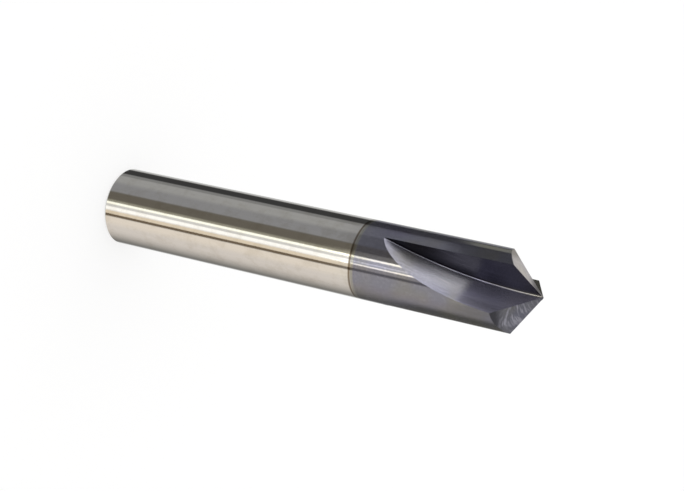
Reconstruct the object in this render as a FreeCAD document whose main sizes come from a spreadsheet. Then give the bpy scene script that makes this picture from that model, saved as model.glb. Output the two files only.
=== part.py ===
import FreeCAD, Part
import Sketcher
import math
import os

# Solid carbide chamfer mill: a round blank, three flutes ground by a large wheel,
# and a 120 degree point of three facets that meet its cutting edges.
# The head has a hard coating, a film that shows on its radius alone.
# The mill stands on the flat rear end of its shank, with its axis along +Z.

# Driving dimensions, in millimetres and degrees

SIZES = {
    # Bright part of the blank, from the rear face to the coated head
    "shank_length": 45.0,
    # Coated part of the blank, up to the point
    "head_length": 28.0,
    # One diameter for the shank and the head
    "blank_diameter": 12.0,
    # What the film of coating adds to the radius of the head, and the length over which it fades out
    "coating_thickness": 0.003,
    "coating_fade": 0.5,
    # 45 degree break of the rear edge
    "rear_chamfer": 0.4,
    # Blank left above the point before the facets are ground
    "grinding_stock": 1.0,
    # Teeth, and flutes between them
    "tooth_count": 3,
    # Direction of the first cutting edge about the axis
    "first_edge": 233.0,
    # Included angle of the cone that the cutting edges sweep
    "point_angle": 120.0,
    # How far behind its cutting edge a facet is steepest
    "relief_lead": 52.0,
    # Angle that a tooth keeps between two flutes
    "tooth_angle": 41.0,
    # Distance from the axis to the corner of a flute where it is deepest
    "web_offset": 0.2,
    # Radius between the rake face and the back of the flute
    "flute_corner": 0.2,
    # Wheel that grinds the flutes, and how far behind the point its centre passes
    "wheel_radius": 50.0,
    "wheel_setback": 0.8,
}


def make_sheet(doc):
    sheet = doc.addObject("Spreadsheet::Sheet", "Sizes")
    sheet.Label = "Sizes"
    for row, (name, value) in enumerate(SIZES.items(), start=1):
        sheet.set("A%d" % row, name)
        sheet.set("B%d" % row, str(value))
        sheet.setAlias("B%d" % row, name)
    doc.recompute()
    return sheet


def origin_feature(body, role):
    for feature in body.Origin.OriginFeatures:
        if feature.Role == role:
            return feature
    raise RuntimeError("no origin feature " + role)


def new_sketch(body, name, role):
    sketch = body.newObject("Sketcher::SketchObject", name)
    sketch.AttachmentSupport = [(origin_feature(body, role), "")]
    sketch.MapMode = "FlatFace"
    return sketch


def turn_sketch(sketch, axis, angle):
    """Turn a sketch about one of its own axes by an angle given as an expression."""
    sketch.AttachmentOffset = FreeCAD.Placement(
        FreeCAD.Vector(0, 0, 0), FreeCAD.Rotation(axis, 1.0))
    sketch.setExpression("AttachmentOffset.Rotation.Angle", angle)


def add_lines(sketch, points, closed=True):
    """Join the points with lines, end to end, and return the lines' numbers."""
    ends = points[1:] + points[:1] if closed else points[1:]
    lines = []
    for start, end in zip(points, ends):
        segment = Part.LineSegment(FreeCAD.Vector(*start, 0), FreeCAD.Vector(*end, 0))
        lines.append(sketch.addGeometry(segment, False))
    for first, second in zip(lines, lines[1:]):
        sketch.addConstraint(Sketcher.Constraint("Coincident", first, 2, second, 1))
    if closed:
        sketch.addConstraint(Sketcher.Constraint("Coincident", lines[-1], 2, lines[0], 1))
    return lines


def add_size(sketch, kind, where, expression):
    """Add a dimension to a sketch and bind it to the sheet."""
    value = sketch.evalExpression(expression)
    index = sketch.addConstraint(Sketcher.Constraint(kind, *where, value))
    sketch.setExpression("Constraints[%d]" % index, expression)


# The blank: half of its section, turned about the axis

def make_blank(body):
    radius = SIZES["blank_diameter"] / 2
    chamfer = SIZES["rear_chamfer"]
    coated = radius + SIZES["coating_thickness"]
    fade = SIZES["coating_fade"]
    shank = SIZES["shank_length"]
    top = shank + SIZES["head_length"] + SIZES["grinding_stock"]
    sketch = new_sketch(body, "BlankProfile", "XZ_Plane")
    points = [(0, 0), (radius - chamfer, 0), (radius, chamfer), (radius, shank - fade),
              (coated, shank), (coated, top), (0, top)]
    rear, bevel, side, edge, head, end, axis = add_lines(sketch, points)
    for line in (rear, end):
        sketch.addConstraint(Sketcher.Constraint("Horizontal", line))
    for line in (side, head, axis):
        sketch.addConstraint(Sketcher.Constraint("Vertical", line))
    sketch.addConstraint(Sketcher.Constraint("Coincident", rear, 1, -1, 1))
    add_size(sketch, "DistanceX", (-1, 1, side, 1), "Sizes.blank_diameter / 2")
    add_size(sketch, "DistanceX", (bevel, 1, bevel, 2), "Sizes.rear_chamfer")
    add_size(sketch, "DistanceY", (bevel, 1, bevel, 2), "Sizes.rear_chamfer")
    add_size(sketch, "DistanceX", (edge, 1, edge, 2), "Sizes.coating_thickness")
    add_size(sketch, "DistanceY", (edge, 1, edge, 2), "Sizes.coating_fade")
    add_size(sketch, "DistanceY", (-1, 1, edge, 2), "Sizes.shank_length")
    add_size(sketch, "DistanceY", (-1, 1, head, 2),
             "Sizes.shank_length + Sizes.head_length + Sizes.grinding_stock")

    blank = body.newObject("PartDesign::Revolution", "Blank")
    blank.Profile = sketch
    blank.ReferenceAxis = (sketch, ["V_Axis"])
    blank.Angle = 360
    blank.Refine = False
    return blank


# One facet of the point: the plane through the tip and a cutting edge.
# It is cut from the side, by a triangle that stands over the facet's steepest line.

def make_facet(body):
    tip = SIZES["shank_length"] + SIZES["head_length"]
    above = 2 * SIZES["grinding_stock"]
    reach = SIZES["blank_diameter"]
    fall = 1 / (math.tan(math.radians(SIZES["point_angle"] / 2))
                * math.cos(math.radians(SIZES["relief_lead"])))

    sketch = new_sketch(body, "FacetProfile", "XZ_Plane")
    turn_sketch(sketch, FreeCAD.Vector(0, 1, 0), "Sizes.first_edge - Sizes.relief_lead")
    points = [(-above / fall, tip + above), (reach, tip - reach * fall), (reach, tip + above)]
    slope, side, top = add_lines(sketch, points)
    tip_point = sketch.addGeometry(Part.Point(FreeCAD.Vector(0, tip, 0)), True)
    sketch.addConstraint(Sketcher.Constraint("Vertical", side))
    sketch.addConstraint(Sketcher.Constraint("Horizontal", top))
    sketch.addConstraint(Sketcher.Constraint("PointOnObject", tip_point, 1, -2))
    sketch.addConstraint(Sketcher.Constraint("PointOnObject", tip_point, 1, slope))
    add_size(sketch, "DistanceY", (-1, 1, tip_point, 1),
             "Sizes.shank_length + Sizes.head_length")
    add_size(sketch, "DistanceY", (tip_point, 1, top, 1), "2 * Sizes.grinding_stock")
    add_size(sketch, "DistanceX", (-1, 1, side, 1), "Sizes.blank_diameter")
    add_size(sketch, "Angle", (side, 1, slope, 2),
             "90 deg - atan(1 / (tan(Sizes.point_angle / 2) * cos(Sizes.relief_lead)))")

    facet = body.newObject("PartDesign::Pocket", "Facet")
    facet.Profile = sketch
    facet.SideType = "Symmetric"
    facet.setExpression("Length", "2 * Sizes.blank_diameter")
    facet.Refine = False
    return facet


# One flute: the section of the wheel where it cuts deepest, turned about the wheel's axis.
# The wheel's flat side leaves the rake face, a plane that holds the mill's axis,
# and its rim leaves the hollow back of the flute and the run-out at the shank.

def make_flute(body):
    web = SIZES["web_offset"]
    corner = SIZES["flute_corner"]
    reach = SIZES["blank_diameter"]
    opening = math.radians(360 / SIZES["tooth_count"] - SIZES["tooth_angle"])
    tangent = corner / math.tan(opening / 2)
    wheel_axis = web + SIZES["wheel_radius"]

    sketch = new_sketch(body, "WheelSection", "XY_Plane")
    turn_sketch(sketch, FreeCAD.Vector(0, 0, 1), "Sizes.first_edge")
    sketch.setExpression("AttachmentOffset.Base.z",
                         "Sizes.shank_length + Sizes.head_length - Sizes.wheel_setback")
    rake_start = (web + tangent, 0)
    flank_start = (web + tangent * math.cos(opening), tangent * math.sin(opening))
    flank_end = (web + reach / math.tan(opening), reach)
    points = [rake_start, (web + reach, 0), (web + reach, reach), flank_end, flank_start]
    rake, outside, top, flank = add_lines(sketch, points, closed=False)
    circle = Part.Circle(FreeCAD.Vector(web + tangent, corner, 0), FreeCAD.Vector(0, 0, 1), corner)
    arc = Part.ArcOfCircle(circle, opening + math.pi / 2, 3 * math.pi / 2)
    bottom = sketch.addGeometry(arc, False)
    meeting = sketch.addGeometry(Part.Point(FreeCAD.Vector(web, 0, 0)), True)
    spindle = sketch.addGeometry(Part.LineSegment(FreeCAD.Vector(wheel_axis, 0, 0),
                                                  FreeCAD.Vector(wheel_axis, reach, 0)), True)

    sketch.addConstraint(Sketcher.Constraint("Tangent", flank, 2, bottom, 1))
    sketch.addConstraint(Sketcher.Constraint("Tangent", bottom, 2, rake, 1))
    sketch.addConstraint(Sketcher.Constraint("Horizontal", rake))
    sketch.addConstraint(Sketcher.Constraint("Horizontal", top))
    sketch.addConstraint(Sketcher.Constraint("Vertical", outside))
    sketch.addConstraint(Sketcher.Constraint("Vertical", spindle))
    sketch.addConstraint(Sketcher.Constraint("PointOnObject", rake, 2, -1))
    sketch.addConstraint(Sketcher.Constraint("PointOnObject", meeting, 1, -1))
    sketch.addConstraint(Sketcher.Constraint("PointOnObject", meeting, 1, flank))
    sketch.addConstraint(Sketcher.Constraint("PointOnObject", spindle, 1, -1))
    add_size(sketch, "DistanceX", (-1, 1, meeting, 1), "Sizes.web_offset")
    add_size(sketch, "DistanceX", (meeting, 1, rake, 2), "Sizes.blank_diameter")
    add_size(sketch, "DistanceY", (outside, 1, outside, 2), "Sizes.blank_diameter")
    add_size(sketch, "DistanceY", (spindle, 1, spindle, 2), "Sizes.blank_diameter")
    add_size(sketch, "DistanceX", (meeting, 1, spindle, 1), "Sizes.wheel_radius")
    add_size(sketch, "Radius", (bottom,), "Sizes.flute_corner")
    add_size(sketch, "Angle", (rake, 1, flank, 2),
             "(360 / Sizes.tooth_count - Sizes.tooth_angle) * 1 deg")

    flute = body.newObject("PartDesign::Groove", "Flute")
    flute.Profile = sketch
    flute.ReferenceAxis = (sketch, ["Axis0"])
    flute.Midplane = True
    flute.Angle = 180
    flute.Refine = False
    return flute


def cut_pattern(doc, body, original, name):
    """Repeat a cut around the axis, once for each tooth, and check that it cuts."""
    before = original.BaseFeature.Shape.Volume
    pattern = body.newObject("PartDesign::PolarPattern", name)
    pattern.Originals = [original]
    pattern.Axis = (origin_feature(body, "Z_Axis"), [""])
    pattern.Angle = 360
    pattern.setExpression("Occurrences", "Sizes.tooth_count")
    pattern.Refine = False
    body.Tip = pattern
    doc.recompute()
    if not before > original.Shape.Volume > pattern.Shape.Volume:
        raise RuntimeError(name + " cut nothing")
    return pattern


def make_mill(doc):
    body = doc.addObject("PartDesign::Body", "ChamferMill")
    body.Label = "chamfer_mill"
    make_blank(body)
    doc.recompute()
    facet = make_facet(body)
    doc.recompute()
    cut_pattern(doc, body, facet, "PointFacets")
    flute = make_flute(body)
    doc.recompute()
    cut_pattern(doc, body, flute, "Flutes")
    return body


def check(doc, parts):
    for item in doc.Objects:
        if "Invalid" in item.State or "Error" in item.State:
            raise RuntimeError("%s is %s" % (item.Name, item.State))
    for part in parts:
        if part.Shape.isNull() or not part.Shape.isValid():
            raise RuntimeError(part.Label + " has no valid shape")
        if len(part.Shape.Solids) != 1:
            raise RuntimeError(part.Label + " is not one solid")


def main():
    doc = FreeCAD.newDocument("ChamferMill")
    make_sheet(doc)
    parts = [make_mill(doc)]
    doc.recompute()
    check(doc, parts)
    os.makedirs("parts", exist_ok=True)
    for part in parts:
        part.Shape.exportStep("parts/%s.step" % part.Label)
        box = part.Shape.optimalBoundingBox()
        print("%s: %.1f mm3, %.2f x %.2f x %.2f mm" % (
            part.Label, part.Shape.Volume, box.XLength, box.YLength, box.ZLength))


main()
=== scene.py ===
import math

import bpy
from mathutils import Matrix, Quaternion, Vector


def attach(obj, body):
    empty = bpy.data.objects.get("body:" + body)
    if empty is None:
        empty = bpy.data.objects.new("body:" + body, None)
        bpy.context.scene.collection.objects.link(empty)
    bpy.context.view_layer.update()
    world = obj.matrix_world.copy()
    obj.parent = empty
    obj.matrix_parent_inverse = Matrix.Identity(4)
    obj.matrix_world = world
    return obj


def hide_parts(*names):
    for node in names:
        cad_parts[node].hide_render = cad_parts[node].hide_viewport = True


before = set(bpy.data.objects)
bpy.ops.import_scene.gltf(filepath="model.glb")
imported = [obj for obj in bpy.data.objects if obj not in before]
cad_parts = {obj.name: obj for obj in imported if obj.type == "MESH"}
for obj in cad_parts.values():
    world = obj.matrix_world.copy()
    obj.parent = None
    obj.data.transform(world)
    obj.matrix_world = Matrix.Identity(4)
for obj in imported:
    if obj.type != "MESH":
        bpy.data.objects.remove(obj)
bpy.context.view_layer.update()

# The mill's sizes, in millimetres and degrees, as the part's source has them

MM = 0.001
MILL_SIZES = {
    "Shank Length": 45.0,
    "Head Length": 28.0,
    "Blank Radius": 6.0,
    "Coating Thickness": 0.003,
    "Coating Fade": 0.5,
    "Rear Chamfer": 0.4,
    "Teeth": 3,
    "First Edge": 233.0,
    "Point Angle": 120.0,
    "Relief Lead": 52.0,
    "Tooth Angle": 41.0,
    "Web Offset": 0.2,
    "Flute Corner": 0.2,
    "Wheel Radius": 50.0,
    "Wheel Setback": 0.8,
}
COATING_START = MILL_SIZES["Shank Length"]
TIP = COATING_START + MILL_SIZES["Head Length"]
PITCH = 360.0 / MILL_SIZES["Teeth"]
WHEEL_CENTRE = (MILL_SIZES["Web Offset"] + MILL_SIZES["Wheel Radius"],
                TIP - MILL_SIZES["Wheel Setback"])

# How finely the blank and the wheels are turned, and the fold in degrees that shows as an edge

BLANK_SIDES = 384
WHEEL_SIDES = 1024
CORNER_STEPS = 12
SHARP_FOLD = 20

# How far the blank runs past the point, and the facets' pyramid past the rear, in millimetres

GRINDING_STOCK = 1.0
BELOW_REAR = 1.0

# The camera's lens and sensor in millimetres, its place and aim in metres, its roll in degrees

CAMERA_LENS = 93.763
CAMERA_SENSOR = 36.0
CAMERA_PLACE = (0.0, -0.233964, 0.166157)
CAMERA_AIM = (-0.00116, 0.0, 0.03977)
CAMERA_ROLL = 102.35

# Half the floor's width in metres, and how much of its white is glow

FLOOR_HALF = 1.5
FLOOR_GLOW = 0.7

# Base colours of the finishes and of the painted light and shade, linear

CARBIDE = (0.56, 0.55, 0.535)
CARBIDE_HANDLED = (0.51, 0.495, 0.47)
CARBIDE_EDGE_TINT = (0.86, 0.86, 0.86)
FILM_EDGE_BROWN = (0.17, 0.145, 0.115)
FILM_EDGE_CREAM = (0.27, 0.267, 0.25)
COATING = (0.187, 0.189, 0.232)
COATING_VIOLET = (0.17, 0.166, 0.225)
COATING_OLIVE = (0.2, 0.197, 0.2)
COATING_PALE = (0.36, 0.355, 0.42)
# Painted shade of the coating: on the rake face near the tip, the hollow's rim, the facets' heels and
# near the tip
COATING_PAINTED_SHADE = (0.062, 0.061, 0.07)
# Painted shade, darkest, on the rake face
RAKE_PAINTED_SHADE = (0.025, 0.0245, 0.031)
# Painted light: the pale zone in the hollow of a flute
PALE_ZONE_PAINTED_LIGHT = (0.9, 0.895, 0.96)
# Painted light on the hollow back past the pale zone
HOLLOW_PAINTED_LIGHT = (0.37, 0.36, 0.51)
COATING_EDGE_TINT = (0.62, 0.62, 0.62)
# Painted highlight along the flute's corner near the tip
CORNER_PAINTED_GLINT = (0.5, 0.485, 0.44)
# Grinding streaks, painted pale as a painted reflection
STREAK_AND_PAINTED_REFLECTION = (0.38, 0.375, 0.43)

# Where the finishes and the painted light and shade change, in millimetres. Heights: the painted pale
# light in the hollow of a flute, where the rake face's painted shade lightens, and the painted
# highlight along the corner. Then distances: from the corner to the hollow's rim, which is painted in
# shade, down the facet to its heel, which is painted in shade, from the axis to the end of the tip's
# painted shade and rougher finish, and the wander of the line where the film starts.

PALE_START = 56.6
PALE_END = 62.3
RAKE_CHANGE = (65.0, 69.0)
CORNER_GLINT_HEIGHTS = (62.0, 72.0)
HOLLOW_RIM = (3.0, 5.0)
HEEL = 5.4
TIP_REACH = 3.2
FILM_WANDER = 0.12

# Stretch of the handling blotches, degrees ahead of an edge that still belong to its flute, and how
# often grinding lines come, per millimetre across and along them

HANDLING_STRETCH = (1.0, 1.0, 0.8)
FLUTE_LEAD = 20.0
FLUTE_LINES = (4.0, 0.1)
POINT_STREAKS = (3.0, 0.55)

# The studio that the metal mirrors: upright panels round the mill, each laid over those before it.
# Name, start and end about the axis in degrees from +X, softness of those two edges, then None
# for the full height or the lower and upper edge above the horizon with their softness, and light.

ROOM = (0.27, 0.265, 0.25)
FULL = None
PANELS = [
    ("pale card", 80, 124.5, 10, 16, FULL, (0.79, 0.79, 0.78)),
    ("bright card", 68, 94, 24, 8, FULL, (0.86, 0.86, 0.85)),
    ("black flag", 127, 163, 10, 10, FULL, (0.07, 0.07, 0.07)),
    ("grey wall", 161.5, 236, 9, 4, FULL, (0.405, 0.405, 0.415)),
    ("dim strip", 161.5, 174, 9, 5, FULL, (0.35, 0.35, 0.345)),
    ("pale patch", 173, 203, 6, 18, FULL, (0.53, 0.53, 0.52)),
    ("table edge", 168, 203, 6, 10, (-28, -25.6, 0.8), (0.43, 0.43, 0.44)),
    ("shelf shade", 202, 236, 6, 4, (-28, -5, 0.8), (0.28, 0.28, 0.28)),
    ("brown cloth", 236, 264, 8, 3, FULL, (0.21, 0.19, 0.155)),
    ("lamp frame", 261, 268, 7, 2, FULL, (0.5, 0.48, 0.38)),
    ("cream wall", 312, 352, 4, 24, FULL, (1.27, 1.15, 1.0)),
    ("plain wall", 336, 387, 24, 76, FULL, (1.1, 1.02, 0.94)),
    ("white wall", 270, 281, 2, 2, FULL, (1.08, 1.07, 1.03)),
    ("lit wall", 272, 281, 2, 2, (-28, -20, 0.8), (1.8, 1.76, 1.7)),
    ("warm frame", 255, 267, 5, 2, (-28, -20, 0.8), (0.64, 0.6, 0.48)),
    ("white curtain", 281, 294.5, 2, 2, FULL, (1.45, 1.42, 1.37)),
    ("strip lamp", 267.5, 274, 2, 3, FULL, (2.0, 1.98, 1.72)),
    ("curtain folds", 282.5, 291, 3, 3, FULL, (1.85, 1.83, 1.75)),
    ("strip tube", 268, 273, 1.5, 1.5, (-28, -20, 0.8), (6.0, 5.7, 4.4)),
    ("second tube", 281.5, 285, 1.5, 1.5, (-28, -20, 0.8), (3.0, 2.95, 2.85)),
    ("third tube", 289.5, 293, 1.5, 1.5, (-28, -20, 0.8), (5.6, 5.2, 4.2)),
    ("tan trim", 294, 304, 1.5, 2, FULL, (1.25, 1.08, 0.84)),
    ("wooden post", 304, 311, 2, 2, FULL, (0.25, 0.19, 0.125)),
    ("plain trim", 294.5, 303, 1.5, 2, (-28, 0, 0.8), (1.1, 1.03, 0.92)),
    ("plain post", 302.5, 310, 3, 3, (-28, 0, 0.8), (0.37, 0.35, 0.34)),
    ("cool wall", 310, 346, 4, 16, (-28, 0, 0.8), (1.14, 1.09, 0.99)),
    ("upper wall", 340, 376, 8, 16, (-24.4, 30, 0.8), (0.72, 0.69, 0.66)),
    ("far corner", 22, 69, 28, 14, (-26.2, 30, 1.6), (0.28, 0.27, 0.22)),
    ("dark shelf", 155, 240, 7, 4, (-24.9, -7, 0.6), (0.1, 0.1, 0.1)),
    ("olive edge", 131, 151, 6, 6, (-24.4, -7, 0.6), (0.62, 0.61, 0.45)),
    ("grey screen", 160, 262, 10, 6, (-20, -5, 2), (1.6, 1.58, 1.66)),
    ("shade over the lamps", 250, 330, 4, 10, (-5, 30, 2), (0.15, 0.145, 0.14)),
    ("tall card", 96, 130, 8, 8, (-8, 14, 2), (2.1, 1.98, 1.72)),
    ("window", 150, 252, 14, 6, (-7.4, 34, 0.3), (2.5, 2.48, 2.5)),
    ("bright window", 222, 252, 10, 6, (-7.4, 34, 0.3), (4.4, 4.35, 4.4)),
    ("blind", 150, 252, 14, 6, (8, 40, 8), (1.75, 1.72, 1.71)),
]
CEILING = (0.54, 0.54, 0.54)

# Where the ceiling starts, how uneven the light is, and how many degrees before its start a panel's
# band is measured from, so that its soft edge is whole

CEILING_EDGE = (30, 50)
UNEVENNESS = 0.12
MARGIN = 60.0


# Nodes

def add(tree, kind, inputs=None, **settings):
    """Add a node, with its settings, and with values or other nodes' outputs in its sockets."""
    made = tree.nodes.new(kind)
    for name, value in settings.items():
        setattr(made, name, value)
    for socket, value in (inputs or {}).items():
        if isinstance(value, bpy.types.NodeSocket):
            tree.links.new(value, made.inputs[socket])
        else:
            made.inputs[socket].default_value = value
    return made


def calc(tree, operation, *values):
    """The result of a Math node."""
    return add(tree, "ShaderNodeMath", dict(enumerate(values)), operation=operation).outputs[0]


def vector(tree, x=0.0, y=0.0, z=0.0):
    """Three numbers as one vector."""
    return add(tree, "ShaderNodeCombineXYZ", {"X": x, "Y": y, "Z": z}).outputs[0]


def step_up(tree, value, low, high):
    """0 below low, 1 above high, and smooth between them."""
    inputs = {"Value": value, "From Min": low, "From Max": high}
    return add(tree, "ShaderNodeMapRange", inputs, interpolation_type="SMOOTHSTEP").outputs["Result"]


def remap(tree, value, low, high):
    """0 to 1 turned into low to high."""
    inputs = {"Value": value, "To Min": low, "To Max": high}
    return add(tree, "ShaderNodeMapRange", inputs).outputs["Result"]


def band(tree, value, start, end, rise, fall):
    """1 between start and end and 0 outside, with edges rise and fall wide."""
    up = step_up(tree, value, start - rise / 2, start + rise / 2)
    down = step_up(tree, value, end - fall / 2, end + fall / 2)
    return calc(tree, "MULTIPLY", up, calc(tree, "SUBTRACT", 1.0, down))


def blend_colour(tree, factor, first, second):
    """first where factor is 0 and second where it is 1."""
    made = add(tree, "ShaderNodeMix", data_type="RGBA")
    sockets = {socket.identifier: socket for socket in made.inputs}
    for name, value in (("Factor_Float", factor), ("A_Color", first), ("B_Color", second)):
        if isinstance(value, bpy.types.NodeSocket):
            tree.links.new(value, sockets[name])
        else:
            sockets[name].default_value = (*value, 1.0)
    return next(socket for socket in made.outputs if socket.identifier == "Result_Color")


def noise(tree, place, scale=1.0, detail=2.0, roughness=0.5):
    """Noise of about 0 to 1 at a place in millimetres."""
    inputs = {"Vector": place, "Scale": scale, "Detail": detail, "Roughness": roughness}
    return add(tree, "ShaderNodeTexNoise", inputs).outputs[0]


def new_material(name):
    material = bpy.data.materials.new(name)
    material.use_nodes = True
    material.node_tree.nodes.clear()
    return material, material.node_tree


# Where a point of the mill is, in millimetres

def place_on_mill(tree):
    """The point as a vector, and its distance from the axis, direction in degrees and height."""
    scaled = add(tree, "ShaderNodeVectorMath", {
        0: add(tree, "ShaderNodeTexCoord").outputs["Object"], 1: (1 / MM, 1 / MM, 1 / MM)},
        operation="MULTIPLY").outputs[0]
    x, y, z = add(tree, "ShaderNodeSeparateXYZ", {0: scaled}).outputs
    from_axis = calc(tree, "SQRT", calc(tree, "ADD", calc(tree, "MULTIPLY", x, x),
                                        calc(tree, "MULTIPLY", y, y)))
    direction = calc(tree, "DEGREES", calc(tree, "ARCTAN2", y, x))
    return scaled, from_axis, direction, z


def behind_edge(tree, direction, lead):
    """Direction measured from the cutting edge of the tooth that the point is on, from -lead up."""
    start = calc(tree, "SUBTRACT", direction, MILL_SIZES["First Edge"] - lead)
    return calc(tree, "SUBTRACT", calc(tree, "FLOORED_MODULO", start, PITCH), lead)


def flat_place(tree, from_axis, angle):
    """Distance along and across the direction that angle is measured from."""
    radians = calc(tree, "RADIANS", angle)
    return (calc(tree, "MULTIPLY", from_axis, calc(tree, "COSINE", radians)),
            calc(tree, "MULTIPLY", from_axis, calc(tree, "SINE", radians)))


# Finishes, with painted light and shade

def film_colour(tree, place):
    """The coating: grey violet that drifts towards violet and olive, with fine droplets."""
    drift = noise(tree, place, 0.16, 1.0)
    colour = blend_colour(tree, step_up(tree, drift, 0.5, 0.72), COATING, COATING_VIOLET)
    colour = blend_colour(tree, step_up(tree, drift, 0.5, 0.28), colour, COATING_OLIVE)
    droplets = step_up(tree, noise(tree, place, 3.0, 3.0, 0.6), 0.45, 0.8)
    return blend_colour(tree, calc(tree, "MULTIPLY", droplets, 0.3), colour, COATING_PALE)


def blank_finish():
    """Bright ground shank, and the coated head with the tinted edge of its film."""
    material, tree = new_material("ground_and_coated_blank")
    place, _, _, z = place_on_mill(tree)

    stretched = add(tree, "ShaderNodeVectorMath", {0: place, 1: HANDLING_STRETCH}, operation="MULTIPLY")
    handling = noise(tree, stretched.outputs[0], 0.5, 4.0, 0.65)
    steel = blend_colour(tree, step_up(tree, handling, 0.44, 0.7), CARBIDE, CARBIDE_HANDLED)

    # Millimetres past the line where the film starts, which wanders a little
    uneven = calc(tree, "SUBTRACT", noise(tree, place, 0.35, 1.0), 0.5)
    wander = calc(tree, "MULTIPLY", uneven, FILM_WANDER)
    along = calc(tree, "SUBTRACT", calc(tree, "ADD", z, wander), COATING_START)
    brown = band(tree, along, -0.45, -0.1, 0.3, 0.2)
    cream = band(tree, along, -0.08, 0.35, 0.2, 0.3)
    coated = step_up(tree, along, -0.1, 0.35)
    colour = blend_colour(tree, coated, steel, film_colour(tree, place))
    colour = blend_colour(tree, brown, colour, FILM_EDGE_BROWN)
    colour = blend_colour(tree, cream, colour, FILM_EDGE_CREAM)

    shine = remap(tree, handling, 0.045, 0.085)
    grazing = blend_colour(tree, coated, CARBIDE_EDGE_TINT, COATING_EDGE_TINT)
    metal = remap(tree, coated, 1.0, 0.9)
    lines = noise(tree, vector(tree, z=z), 14.0, 3.0, 0.7)
    waves = add(tree, "ShaderNodeBump", {"Height": handling, "Strength": 1.0, "Distance": 0.000003})
    bump = add(tree, "ShaderNodeBump", {
        "Height": lines, "Strength": 0.05, "Distance": 0.00001, "Normal": waves.outputs[0]})
    shader = add(tree, "ShaderNodeBsdfPrincipled", {
        "Base Color": colour, "Metallic": metal, "Roughness": shine, "Specular Tint": grazing,
        "Normal": bump.outputs[0]})
    add(tree, "ShaderNodeOutputMaterial", {"Surface": shader.outputs[0]})
    return material


def flute_film_and_painted_light(tree, place, across, back, z):
    """The film of a flute with painted light and shade: painted shade, darkest on the rake face, a
    painted pale light in the hollow back up to PALE_END, painted light past it and painted shade at its
    rim.
    """
    # Painted shade on the rake face, lighter past RAKE_CHANGE towards the tip
    rake = blend_colour(tree, step_up(tree, z, *RAKE_CHANGE), RAKE_PAINTED_SHADE, COATING_PAINTED_SHADE)
    # Past PALE_END the hollow back is painted paler as painted light, and darker towards its rim as
    # painted shade
    beyond = step_up(tree, z, PALE_END - 0.8, PALE_END + 0.7)
    hollow = blend_colour(tree, calc(tree, "MULTIPLY", beyond, 0.5),
                          film_colour(tree, place), HOLLOW_PAINTED_LIGHT)
    rim = calc(tree, "MULTIPLY", beyond, step_up(tree, across, *HOLLOW_RIM))
    hollow = blend_colour(tree, calc(tree, "MULTIPLY", rim, 0.66), hollow, COATING_PAINTED_SHADE)
    film = blend_colour(tree, back, rake, hollow)
    # Painted light: the pale zone on the hollow back between PALE_START and PALE_END
    painted_pale_light = calc(tree, "MULTIPLY", band(tree, across, 0.9, 3.5, 1.0, 3.0),
                band(tree, z, PALE_START, PALE_END, 7.6, 1.5))
    return blend_colour(tree, calc(tree, "MULTIPLY", painted_pale_light, 0.64), film, PALE_ZONE_PAINTED_LIGHT)


def flute_finish():
    """Coated flutes, with the lines that the wheel leaves along its path, and painted light and shade.
    """
    material, tree = new_material("wheel_ground_flute")
    place, from_axis, direction, z = place_on_mill(tree)
    angle = behind_edge(tree, direction, FLUTE_LEAD)
    along, across = flat_place(tree, from_axis, angle)
    to_spindle = calc(tree, "SUBTRACT", WHEEL_CENTRE[0], along)
    rise = calc(tree, "SUBTRACT", z, WHEEL_CENTRE[1])
    on_wheel = calc(tree, "SQRT", calc(tree, "ADD", calc(tree, "MULTIPLY", to_spindle, to_spindle),
                                       calc(tree, "MULTIPLY", rise, rise)))
    groove = calc(tree, "ADD", on_wheel, across)
    sweep = calc(tree, "MULTIPLY", calc(tree, "ARCTAN2", rise, to_spindle), MILL_SIZES["Wheel Radius"])
    marks = noise(tree, vector(tree, calc(tree, "MULTIPLY", groove, FLUTE_LINES[0]),
                               calc(tree, "MULTIPLY", sweep, FLUTE_LINES[1])), 1.0, 2.0, 0.6)
    back = step_up(tree, across, 0.03, 0.2)

    pale = calc(tree, "MULTIPLY", step_up(tree, marks, 0.4, 0.75), remap(tree, back, 0.05, 0.25))
    colour = blend_colour(tree, pale, flute_film_and_painted_light(tree, place, across, back, z), COATING_PALE)
    # A painted highlight along the corner near the tip
    corner = calc(tree, "MULTIPLY", band(tree, across, 0.04, 0.3, 0.06, 0.16),
                  step_up(tree, z, *CORNER_GLINT_HEIGHTS))
    colour = blend_colour(tree, calc(tree, "MULTIPLY", corner, 0.6), colour, CORNER_PAINTED_GLINT)
    satin = calc(tree, "MULTIPLY", back, step_up(tree, z, PALE_END + 0.7, PALE_END - 1.3))
    normal = add(tree, "ShaderNodeNewGeometry").outputs["Normal"]
    across_lines = add(tree, "ShaderNodeVectorMath", {0: (0.0, 0.0, 1.0), 1: normal},
                       operation="CROSS_PRODUCT").outputs[0]
    bump = add(tree, "ShaderNodeBump", {"Height": marks, "Strength": 0.08, "Distance": 0.00002})
    shader = add(tree, "ShaderNodeBsdfPrincipled", {
        "Base Color": colour, "Metallic": remap(tree, back, 0.97, 0.9),
        "Roughness": remap(tree, satin, 0.2, 0.24), "Anisotropic": remap(tree, back, 0.3, 1.0),
        "Specular Tint": (*COATING_EDGE_TINT, 1.0), "Tangent": across_lines, "Normal": bump.outputs[0]})
    add(tree, "ShaderNodeOutputMaterial", {"Surface": shader.outputs[0]})
    return material


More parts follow.
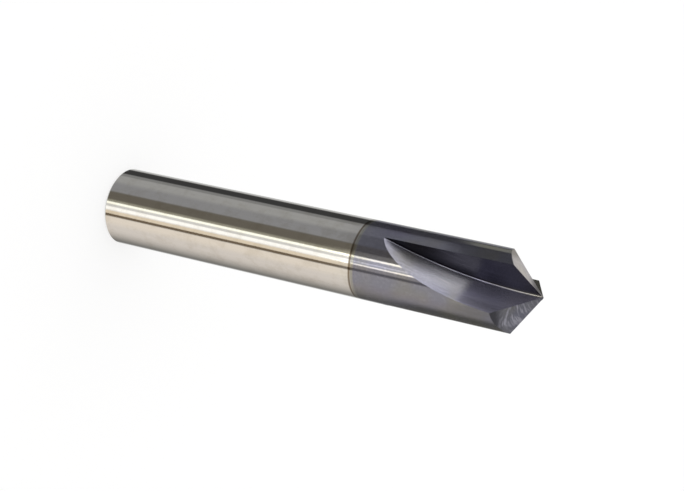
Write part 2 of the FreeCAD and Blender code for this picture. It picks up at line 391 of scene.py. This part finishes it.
def point_finish():
    """Coated facets of the point, with the curved streaks of their grinding, and painted light and
    shade.
    """
    material, tree = new_material("ground_point")
    place, from_axis, direction, _ = place_on_mill(tree)
    side = add(tree, "ShaderNodeSeparateXYZ", {0: place}).outputs["X"]
    lead = MILL_SIZES["Relief Lead"]
    angle = calc(tree, "ADD", behind_edge(tree, direction, lead + PITCH / 2), lead)
    down, across = flat_place(tree, from_axis, angle)

    # The streaks bow, and fan out from the middle of the facet
    fan = calc(tree, "MULTIPLY", calc(tree, "SUBTRACT", down, 3.4), calc(tree, "SUBTRACT", across, 2.0))
    bow = calc(tree, "POWER", calc(tree, "SUBTRACT", across, 1.5), 2.0)
    streak = calc(tree, "ADD", down, calc(tree, "SUBTRACT", calc(tree, "MULTIPLY", bow, 0.1),
                                          calc(tree, "MULTIPLY", fan, 0.25)))
    marks = noise(tree, vector(tree, calc(tree, "MULTIPLY", streak, POINT_STREAKS[0]),
                               calc(tree, "MULTIPLY", across, POINT_STREAKS[1])), 1.0, 2.0, 0.6)
    bright = step_up(tree, marks, 0.48, 0.66)

    # Painted shade towards the heel, painted light on the streaks towards +X, and painted shade with a
    # rougher finish near the tip on the other side
    from_heel = step_up(tree, calc(tree, "SUBTRACT", HEEL, down), 0.0, 1.2)
    film = blend_colour(tree, remap(tree, from_heel, 0.1, 1.0), COATING_PAINTED_SHADE, film_colour(tree, place))
    right = step_up(tree, side, -1.0, 1.5)
    # Where the grinding streaks are painted pale as a painted reflection, away from the heel and
    # towards +X
    painted_lit_side = calc(tree, "MULTIPLY", from_heel, remap(tree, right, 0.15, 1.0))
    colour = blend_colour(tree, calc(tree, "MULTIPLY", bright, painted_lit_side), film, STREAK_AND_PAINTED_REFLECTION)
    near_tip = step_up(tree, calc(tree, "SUBTRACT", TIP_REACH, from_axis), 0.0, 2.0)
    at_tip = calc(tree, "MULTIPLY", near_tip, remap(tree, right, 1.0, 0.0))
    colour = blend_colour(tree, calc(tree, "MULTIPLY", at_tip, 0.8), colour, COATING_PAINTED_SHADE)
    bump = add(tree, "ShaderNodeBump", {"Height": marks, "Strength": 0.2, "Distance": 0.00003})
    shader = add(tree, "ShaderNodeBsdfPrincipled", {
        "Base Color": colour, "Metallic": 0.9, "Roughness": remap(tree, at_tip, 0.22, 0.5),
        "Specular Tint": (*COATING_EDGE_TINT, 1.0), "Normal": bump.outputs[0]})
    add(tree, "ShaderNodeOutputMaterial", {"Surface": shader.outputs[0]})
    return material


# The mill, ground as the real one is: a turned blank, a point of flat facets, and wheels that cut
# the flutes. Its trees work in millimetres and turn the result into metres.

def ring_value(tree, ring, values):
    """The value for each ring of a turned shape, from the first ring to the last."""
    made = add(tree, "GeometryNodeIndexSwitch", data_type="FLOAT")
    while len(made.index_switch_items) < len(values):
        made.index_switch_items.new()
    tree.links.new(ring, made.inputs[0])
    for socket, value in zip(list(made.inputs)[1:], values):
        if isinstance(value, bpy.types.NodeSocket):
            tree.links.new(value, socket)
        else:
            socket.default_value = value
    return made.outputs[0]


def turned(tree, sides, rings, shape):
    """A closed shape turned about Z. shape(ring) gives the radius and the height of each ring."""
    start = add(tree, "GeometryNodeMeshCylinder", {
        "Vertices": sides, "Side Segments": rings - 1, "Radius": 1.0, "Depth": rings - 1.0})
    position = add(tree, "GeometryNodeInputPosition").outputs[0]
    x, y, z = add(tree, "ShaderNodeSeparateXYZ", {0: position}).outputs
    radius, height = shape(calc(tree, "ROUND", calc(tree, "ADD", z, (rings - 1) / 2)))
    moved = vector(tree, calc(tree, "MULTIPLY", x, radius), calc(tree, "MULTIPLY", y, radius), height)
    return add(tree, "GeometryNodeSetPosition", {
        "Geometry": start.outputs["Mesh"], "Position": moved}).outputs[0]


def note_finish(tree, geometry, number):
    """Keep on each face the number of the finish that it gets."""
    return add(tree, "GeometryNodeStoreNamedAttribute", {
        "Geometry": geometry, "Name": "finish", "Value": number},
        data_type="INT", domain="FACE").outputs[0]


def turned_blank(tree, size, tip):
    """The blank, chamfered at the rear, coated on the head and longer than the mill by the stock."""
    coated = calc(tree, "ADD", size["Blank Radius"], size["Coating Thickness"])
    radii = [calc(tree, "SUBTRACT", size["Blank Radius"], size["Rear Chamfer"]),
             size["Blank Radius"], size["Blank Radius"], coated, coated]
    fade_start = calc(tree, "SUBTRACT", size["Shank Length"], size["Coating Fade"])
    heights = [0.0, size["Rear Chamfer"], fade_start, size["Shank Length"],
               calc(tree, "ADD", tip, GRINDING_STOCK)]

    def shape(ring):
        return ring_value(tree, ring, radii), ring_value(tree, ring, heights)

    return turned(tree, BLANK_SIDES, len(radii), shape)


def point_pyramid(tree, size, tip, edge):
    """A pyramid with one side for each tooth. Its sides are the facets' planes."""
    half = calc(tree, "RADIANS", calc(tree, "DIVIDE", size["Point Angle"], 2.0))
    lead = calc(tree, "RADIANS", size["Relief Lead"])
    half_side = calc(tree, "DIVIDE", math.pi, size["Teeth"])
    fall = calc(tree, "DIVIDE", 1.0, calc(tree, "MULTIPLY", calc(tree, "TANGENT", half),
                                          calc(tree, "COSINE", lead)))
    depth = calc(tree, "ADD", tip, BELOW_REAR)
    spread = calc(tree, "DIVIDE", calc(tree, "DIVIDE", depth, fall), calc(tree, "COSINE", half_side))
    cone = add(tree, "GeometryNodeMeshCone", {
        "Vertices": size["Teeth"], "Radius Top": 0.0, "Radius Bottom": spread, "Depth": depth})
    turn = calc(tree, "ADD", calc(tree, "SUBTRACT", edge, lead), half_side)
    return add(tree, "GeometryNodeTransform", {
        "Geometry": cone.outputs["Mesh"], "Translation": (0.0, 0.0, -BELOW_REAR),
        "Rotation": vector(tree, z=turn)}).outputs[0]


def flute_wheels(tree, size, tip, edge):
    """The grinding wheel, as a turned disc, once for each flute."""
    opening = calc(tree, "SUBTRACT", calc(tree, "DIVIDE", 2 * math.pi, size["Teeth"]),
                   calc(tree, "RADIANS", size["Tooth Angle"]))
    corner = size["Flute Corner"]
    tangent = calc(tree, "DIVIDE", corner, calc(tree, "TANGENT", calc(tree, "DIVIDE", opening, 2.0)))
    thick = calc(tree, "MULTIPLY", size["Blank Radius"], 2.0)
    taper = calc(tree, "DIVIDE", thick, calc(tree, "TANGENT", opening))

    def shape(ring):
        share = calc(tree, "MINIMUM", calc(tree, "DIVIDE", ring, float(CORNER_STEPS)), 1.0)
        sweep = calc(tree, "MULTIPLY", share, calc(tree, "SUBTRACT", math.pi, opening))
        inset = calc(tree, "SUBTRACT", tangent,
                     calc(tree, "MULTIPLY", corner, calc(tree, "SINE", sweep)))
        height = calc(tree, "MULTIPLY", corner,
                      calc(tree, "SUBTRACT", 1.0, calc(tree, "COSINE", sweep)))
        last = calc(tree, "COMPARE", ring, CORNER_STEPS + 1.0, 0.1)
        inset = add(tree, "ShaderNodeMix", {0: last, 2: inset, 3: taper}).outputs[0]
        height = add(tree, "ShaderNodeMix", {0: last, 2: height, 3: thick}).outputs[0]
        return calc(tree, "SUBTRACT", size["Wheel Radius"], inset), height

    wheel = turned(tree, WHEEL_SIDES, CORNER_STEPS + 2, shape)
    spindle = vector(tree, x=calc(tree, "ADD", size["Web Offset"], size["Wheel Radius"]),
                     z=calc(tree, "SUBTRACT", tip, size["Wheel Setback"]))
    wheel = add(tree, "GeometryNodeTransform", {
        "Geometry": wheel, "Translation": spindle, "Rotation": (-math.pi / 2, 0.0, 0.0)})
    places = add(tree, "GeometryNodePoints", {"Count": size["Teeth"]})
    step = calc(tree, "DIVIDE", 2 * math.pi, size["Teeth"])
    turn = calc(tree, "MULTIPLY_ADD", add(tree, "GeometryNodeInputIndex").outputs[0], step, edge)
    wheels = add(tree, "GeometryNodeInstanceOnPoints", {
        "Points": places.outputs[0], "Instance": wheel.outputs[0], "Rotation": vector(tree, z=turn)})
    return add(tree, "GeometryNodeRealizeInstances", {0: wheels.outputs[0]}).outputs[0]


def mill_tree(finishes):
    """Geometry Nodes that grind the mill. Its inputs are the mill's sizes."""
    tree = bpy.data.node_groups.new("ground_mill", "GeometryNodeTree")
    for name, value in MILL_SIZES.items():
        kind = "NodeSocketInt" if isinstance(value, int) else "NodeSocketFloat"
        tree.interface.new_socket(name=name, in_out="INPUT", socket_type=kind).default_value = value
    tree.interface.new_socket(name="Mill", in_out="OUTPUT", socket_type="NodeSocketGeometry")
    size = add(tree, "NodeGroupInput").outputs
    tip = calc(tree, "ADD", size["Shank Length"], size["Head Length"])
    edge = calc(tree, "RADIANS", size["First Edge"])

    blank, point, wheels = (note_finish(tree, made, number) for number, made in enumerate((
        turned_blank(tree, size, tip), point_pyramid(tree, size, tip, edge),
        flute_wheels(tree, size, tip, edge))))
    pointed = add(tree, "GeometryNodeMeshBoolean", operation="INTERSECT", solver="MANIFOLD")
    tree.links.new(blank, pointed.inputs["Mesh 2"])
    tree.links.new(point, pointed.inputs["Mesh 2"])
    fluted = add(tree, "GeometryNodeMeshBoolean", operation="DIFFERENCE", solver="MANIFOLD")
    tree.links.new(pointed.outputs["Mesh"], fluted.inputs["Mesh 1"])
    tree.links.new(wheels, fluted.inputs["Mesh 2"])

    metres = add(tree, "GeometryNodeTransform", {
        "Geometry": fluted.outputs["Mesh"], "Scale": (MM, MM, MM)})
    fold = add(tree, "GeometryNodeInputMeshEdgeAngle").outputs["Unsigned Angle"]
    gentle = add(tree, "FunctionNodeCompare", {0: fold, 1: math.radians(SHARP_FOLD)},
                 operation="LESS_THAN")
    shaded = add(tree, "GeometryNodeSetShadeSmooth", {
        "Geometry": metres.outputs[0], "Shade Smooth": gentle.outputs[0]}, domain="EDGE")
    made = add(tree, "GeometryNodeRealizeInstances", {0: shaded.outputs[0]}).outputs[0]
    noted = add(tree, "GeometryNodeInputNamedAttribute", {"Name": "finish"}, data_type="INT").outputs[0]
    made = add(tree, "GeometryNodeSetMaterial", {"Geometry": made, "Material": finishes[0]}).outputs[0]
    for number, material in enumerate(finishes[1:], 1):
        chosen = add(tree, "FunctionNodeCompare", {2: noted, 3: number},
                     data_type="INT", operation="EQUAL")
        made = add(tree, "GeometryNodeSetMaterial", {
            "Geometry": made, "Selection": chosen.outputs[0], "Material": material}).outputs[0]
    add(tree, "NodeGroupOutput", {0: made})
    return tree


def grind_mill():
    """The ground mill as a plain mesh, in the place of the CAD node."""
    start = bpy.data.objects.new("mill_start", bpy.data.meshes.new("mill_start"))
    bpy.context.scene.collection.objects.link(start)
    tree = mill_tree((blank_finish(), point_finish(), flute_finish()))
    modifier = start.modifiers.new("ground_mill", "NODES")
    modifier.node_group = tree
    for socket in tree.interface.items_tree:
        if socket.in_out == "INPUT":
            modifier[socket.identifier] = MILL_SIZES[socket.name]
    graph = bpy.context.evaluated_depsgraph_get()
    mesh = bpy.data.meshes.new_from_object(start.evaluated_get(graph))
    bpy.data.objects.remove(start)
    while mesh.materials[0] is None:
        mesh.materials.pop(index=0)
    mesh.name = "mill"
    mill = bpy.data.objects.new("mill", mesh)
    bpy.context.scene.collection.objects.link(mill)
    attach(mill, "root")
    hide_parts("chamfer_mill")


# Camera, floor and studio

def make_camera():
    data = bpy.data.cameras.new("camera")
    data.lens = CAMERA_LENS
    data.sensor_width = CAMERA_SENSOR
    data.clip_start = 0.01
    data.clip_end = 10.0
    camera = bpy.data.objects.new("camera", data)
    bpy.context.scene.collection.objects.link(camera)
    place = Vector(CAMERA_PLACE)
    level = (Vector(CAMERA_AIM) - place).to_track_quat("-Z", "Y")
    roll = Quaternion((0.0, 0.0, 1.0), math.radians(CAMERA_ROLL))
    camera.rotation_mode = "QUATERNION"
    camera.location = place
    camera.rotation_quaternion = level @ roll
    bpy.context.scene.camera = camera


def make_floor():
    """A white floor that shows plain white and keeps the mill's shadow."""
    half = FLOOR_HALF
    mesh = bpy.data.meshes.new("floor")
    corners = [(-half, -half, 0), (half, -half, 0), (half, half, 0), (-half, half, 0)]
    mesh.from_pydata(corners, [], [(0, 1, 2, 3)])
    floor = bpy.data.objects.new("floor", mesh)
    bpy.context.scene.collection.objects.link(floor)
    material, tree = new_material("white_paper")
    paper = add(tree, "ShaderNodeBsdfDiffuse", {"Color": (1.0, 1.0, 1.0, 1.0)})
    glow = add(tree, "ShaderNodeEmission", {"Color": (1.0, 1.0, 1.0, 1.0), "Strength": 1.0})
    path = add(tree, "ShaderNodeLightPath").outputs
    seen = calc(tree, "MAXIMUM", path["Is Camera Ray"], path["Is Glossy Ray"])
    seen = calc(tree, "MAXIMUM", seen, path["Is Transmission Ray"])
    share = calc(tree, "MULTIPLY", seen, FLOOR_GLOW)
    mixed = add(tree, "ShaderNodeMixShader", {0: share, 1: paper.outputs[0], 2: glow.outputs[0]})
    add(tree, "ShaderNodeOutputMaterial", {"Surface": mixed.outputs[0]})
    mesh.materials.append(material)
    floor.visible_glossy = False


def make_studio():
    """The panels, as the metal mirrors them. The camera and diffuse light see plain white."""
    world = bpy.data.worlds.new("studio")
    bpy.context.scene.world = world
    world.use_nodes = True
    tree = world.node_tree
    tree.nodes.clear()
    facing = add(tree, "ShaderNodeTexCoord").outputs["Generated"]
    x, y, z = add(tree, "ShaderNodeSeparateXYZ", {0: facing}).outputs
    turn = calc(tree, "DEGREES", calc(tree, "ARCTAN2", y, x))
    height = calc(tree, "DEGREES", calc(tree, "ARCSINE", z))

    room = ROOM
    for name, start, end, rise, fall, heights, light in PANELS:
        past = calc(tree, "FLOORED_MODULO", calc(tree, "SUBTRACT", turn, start - MARGIN), 360.0)
        cover = band(tree, past, MARGIN, MARGIN + end - start, rise, fall)
        if heights is not FULL:
            low, high, soft = heights
            cover = calc(tree, "MULTIPLY", cover, band(tree, height, low, high, soft, soft))
        cover.node.label = name
        room = blend_colour(tree, cover, room, light)
    room = blend_colour(tree, step_up(tree, height, *CEILING_EDGE), room, CEILING)
    streaks = vector(tree, calc(tree, "MULTIPLY", turn, 0.5), calc(tree, "MULTIPLY", height, 0.06))
    level = remap(tree, noise(tree, streaks, 1.0, 3.0, 0.6), 1.0 - UNEVENNESS, 1.0 + UNEVENNESS)

    path = add(tree, "ShaderNodeLightPath").outputs
    plain = calc(tree, "MAXIMUM", path["Is Camera Ray"], path["Is Diffuse Ray"])
    colour = blend_colour(tree, plain, room, (1.0, 1.0, 1.0))
    strength = add(tree, "ShaderNodeMix", {0: plain, 2: level, 3: 1.0}).outputs[0]
    background = add(tree, "ShaderNodeBackground", {"Color": colour, "Strength": strength})
    add(tree, "ShaderNodeOutputWorld", {"Surface": background.outputs[0]})


grind_mill()
make_camera()
make_floor()
make_studio()

bpy.context.scene.view_settings.view_transform = "Standard"
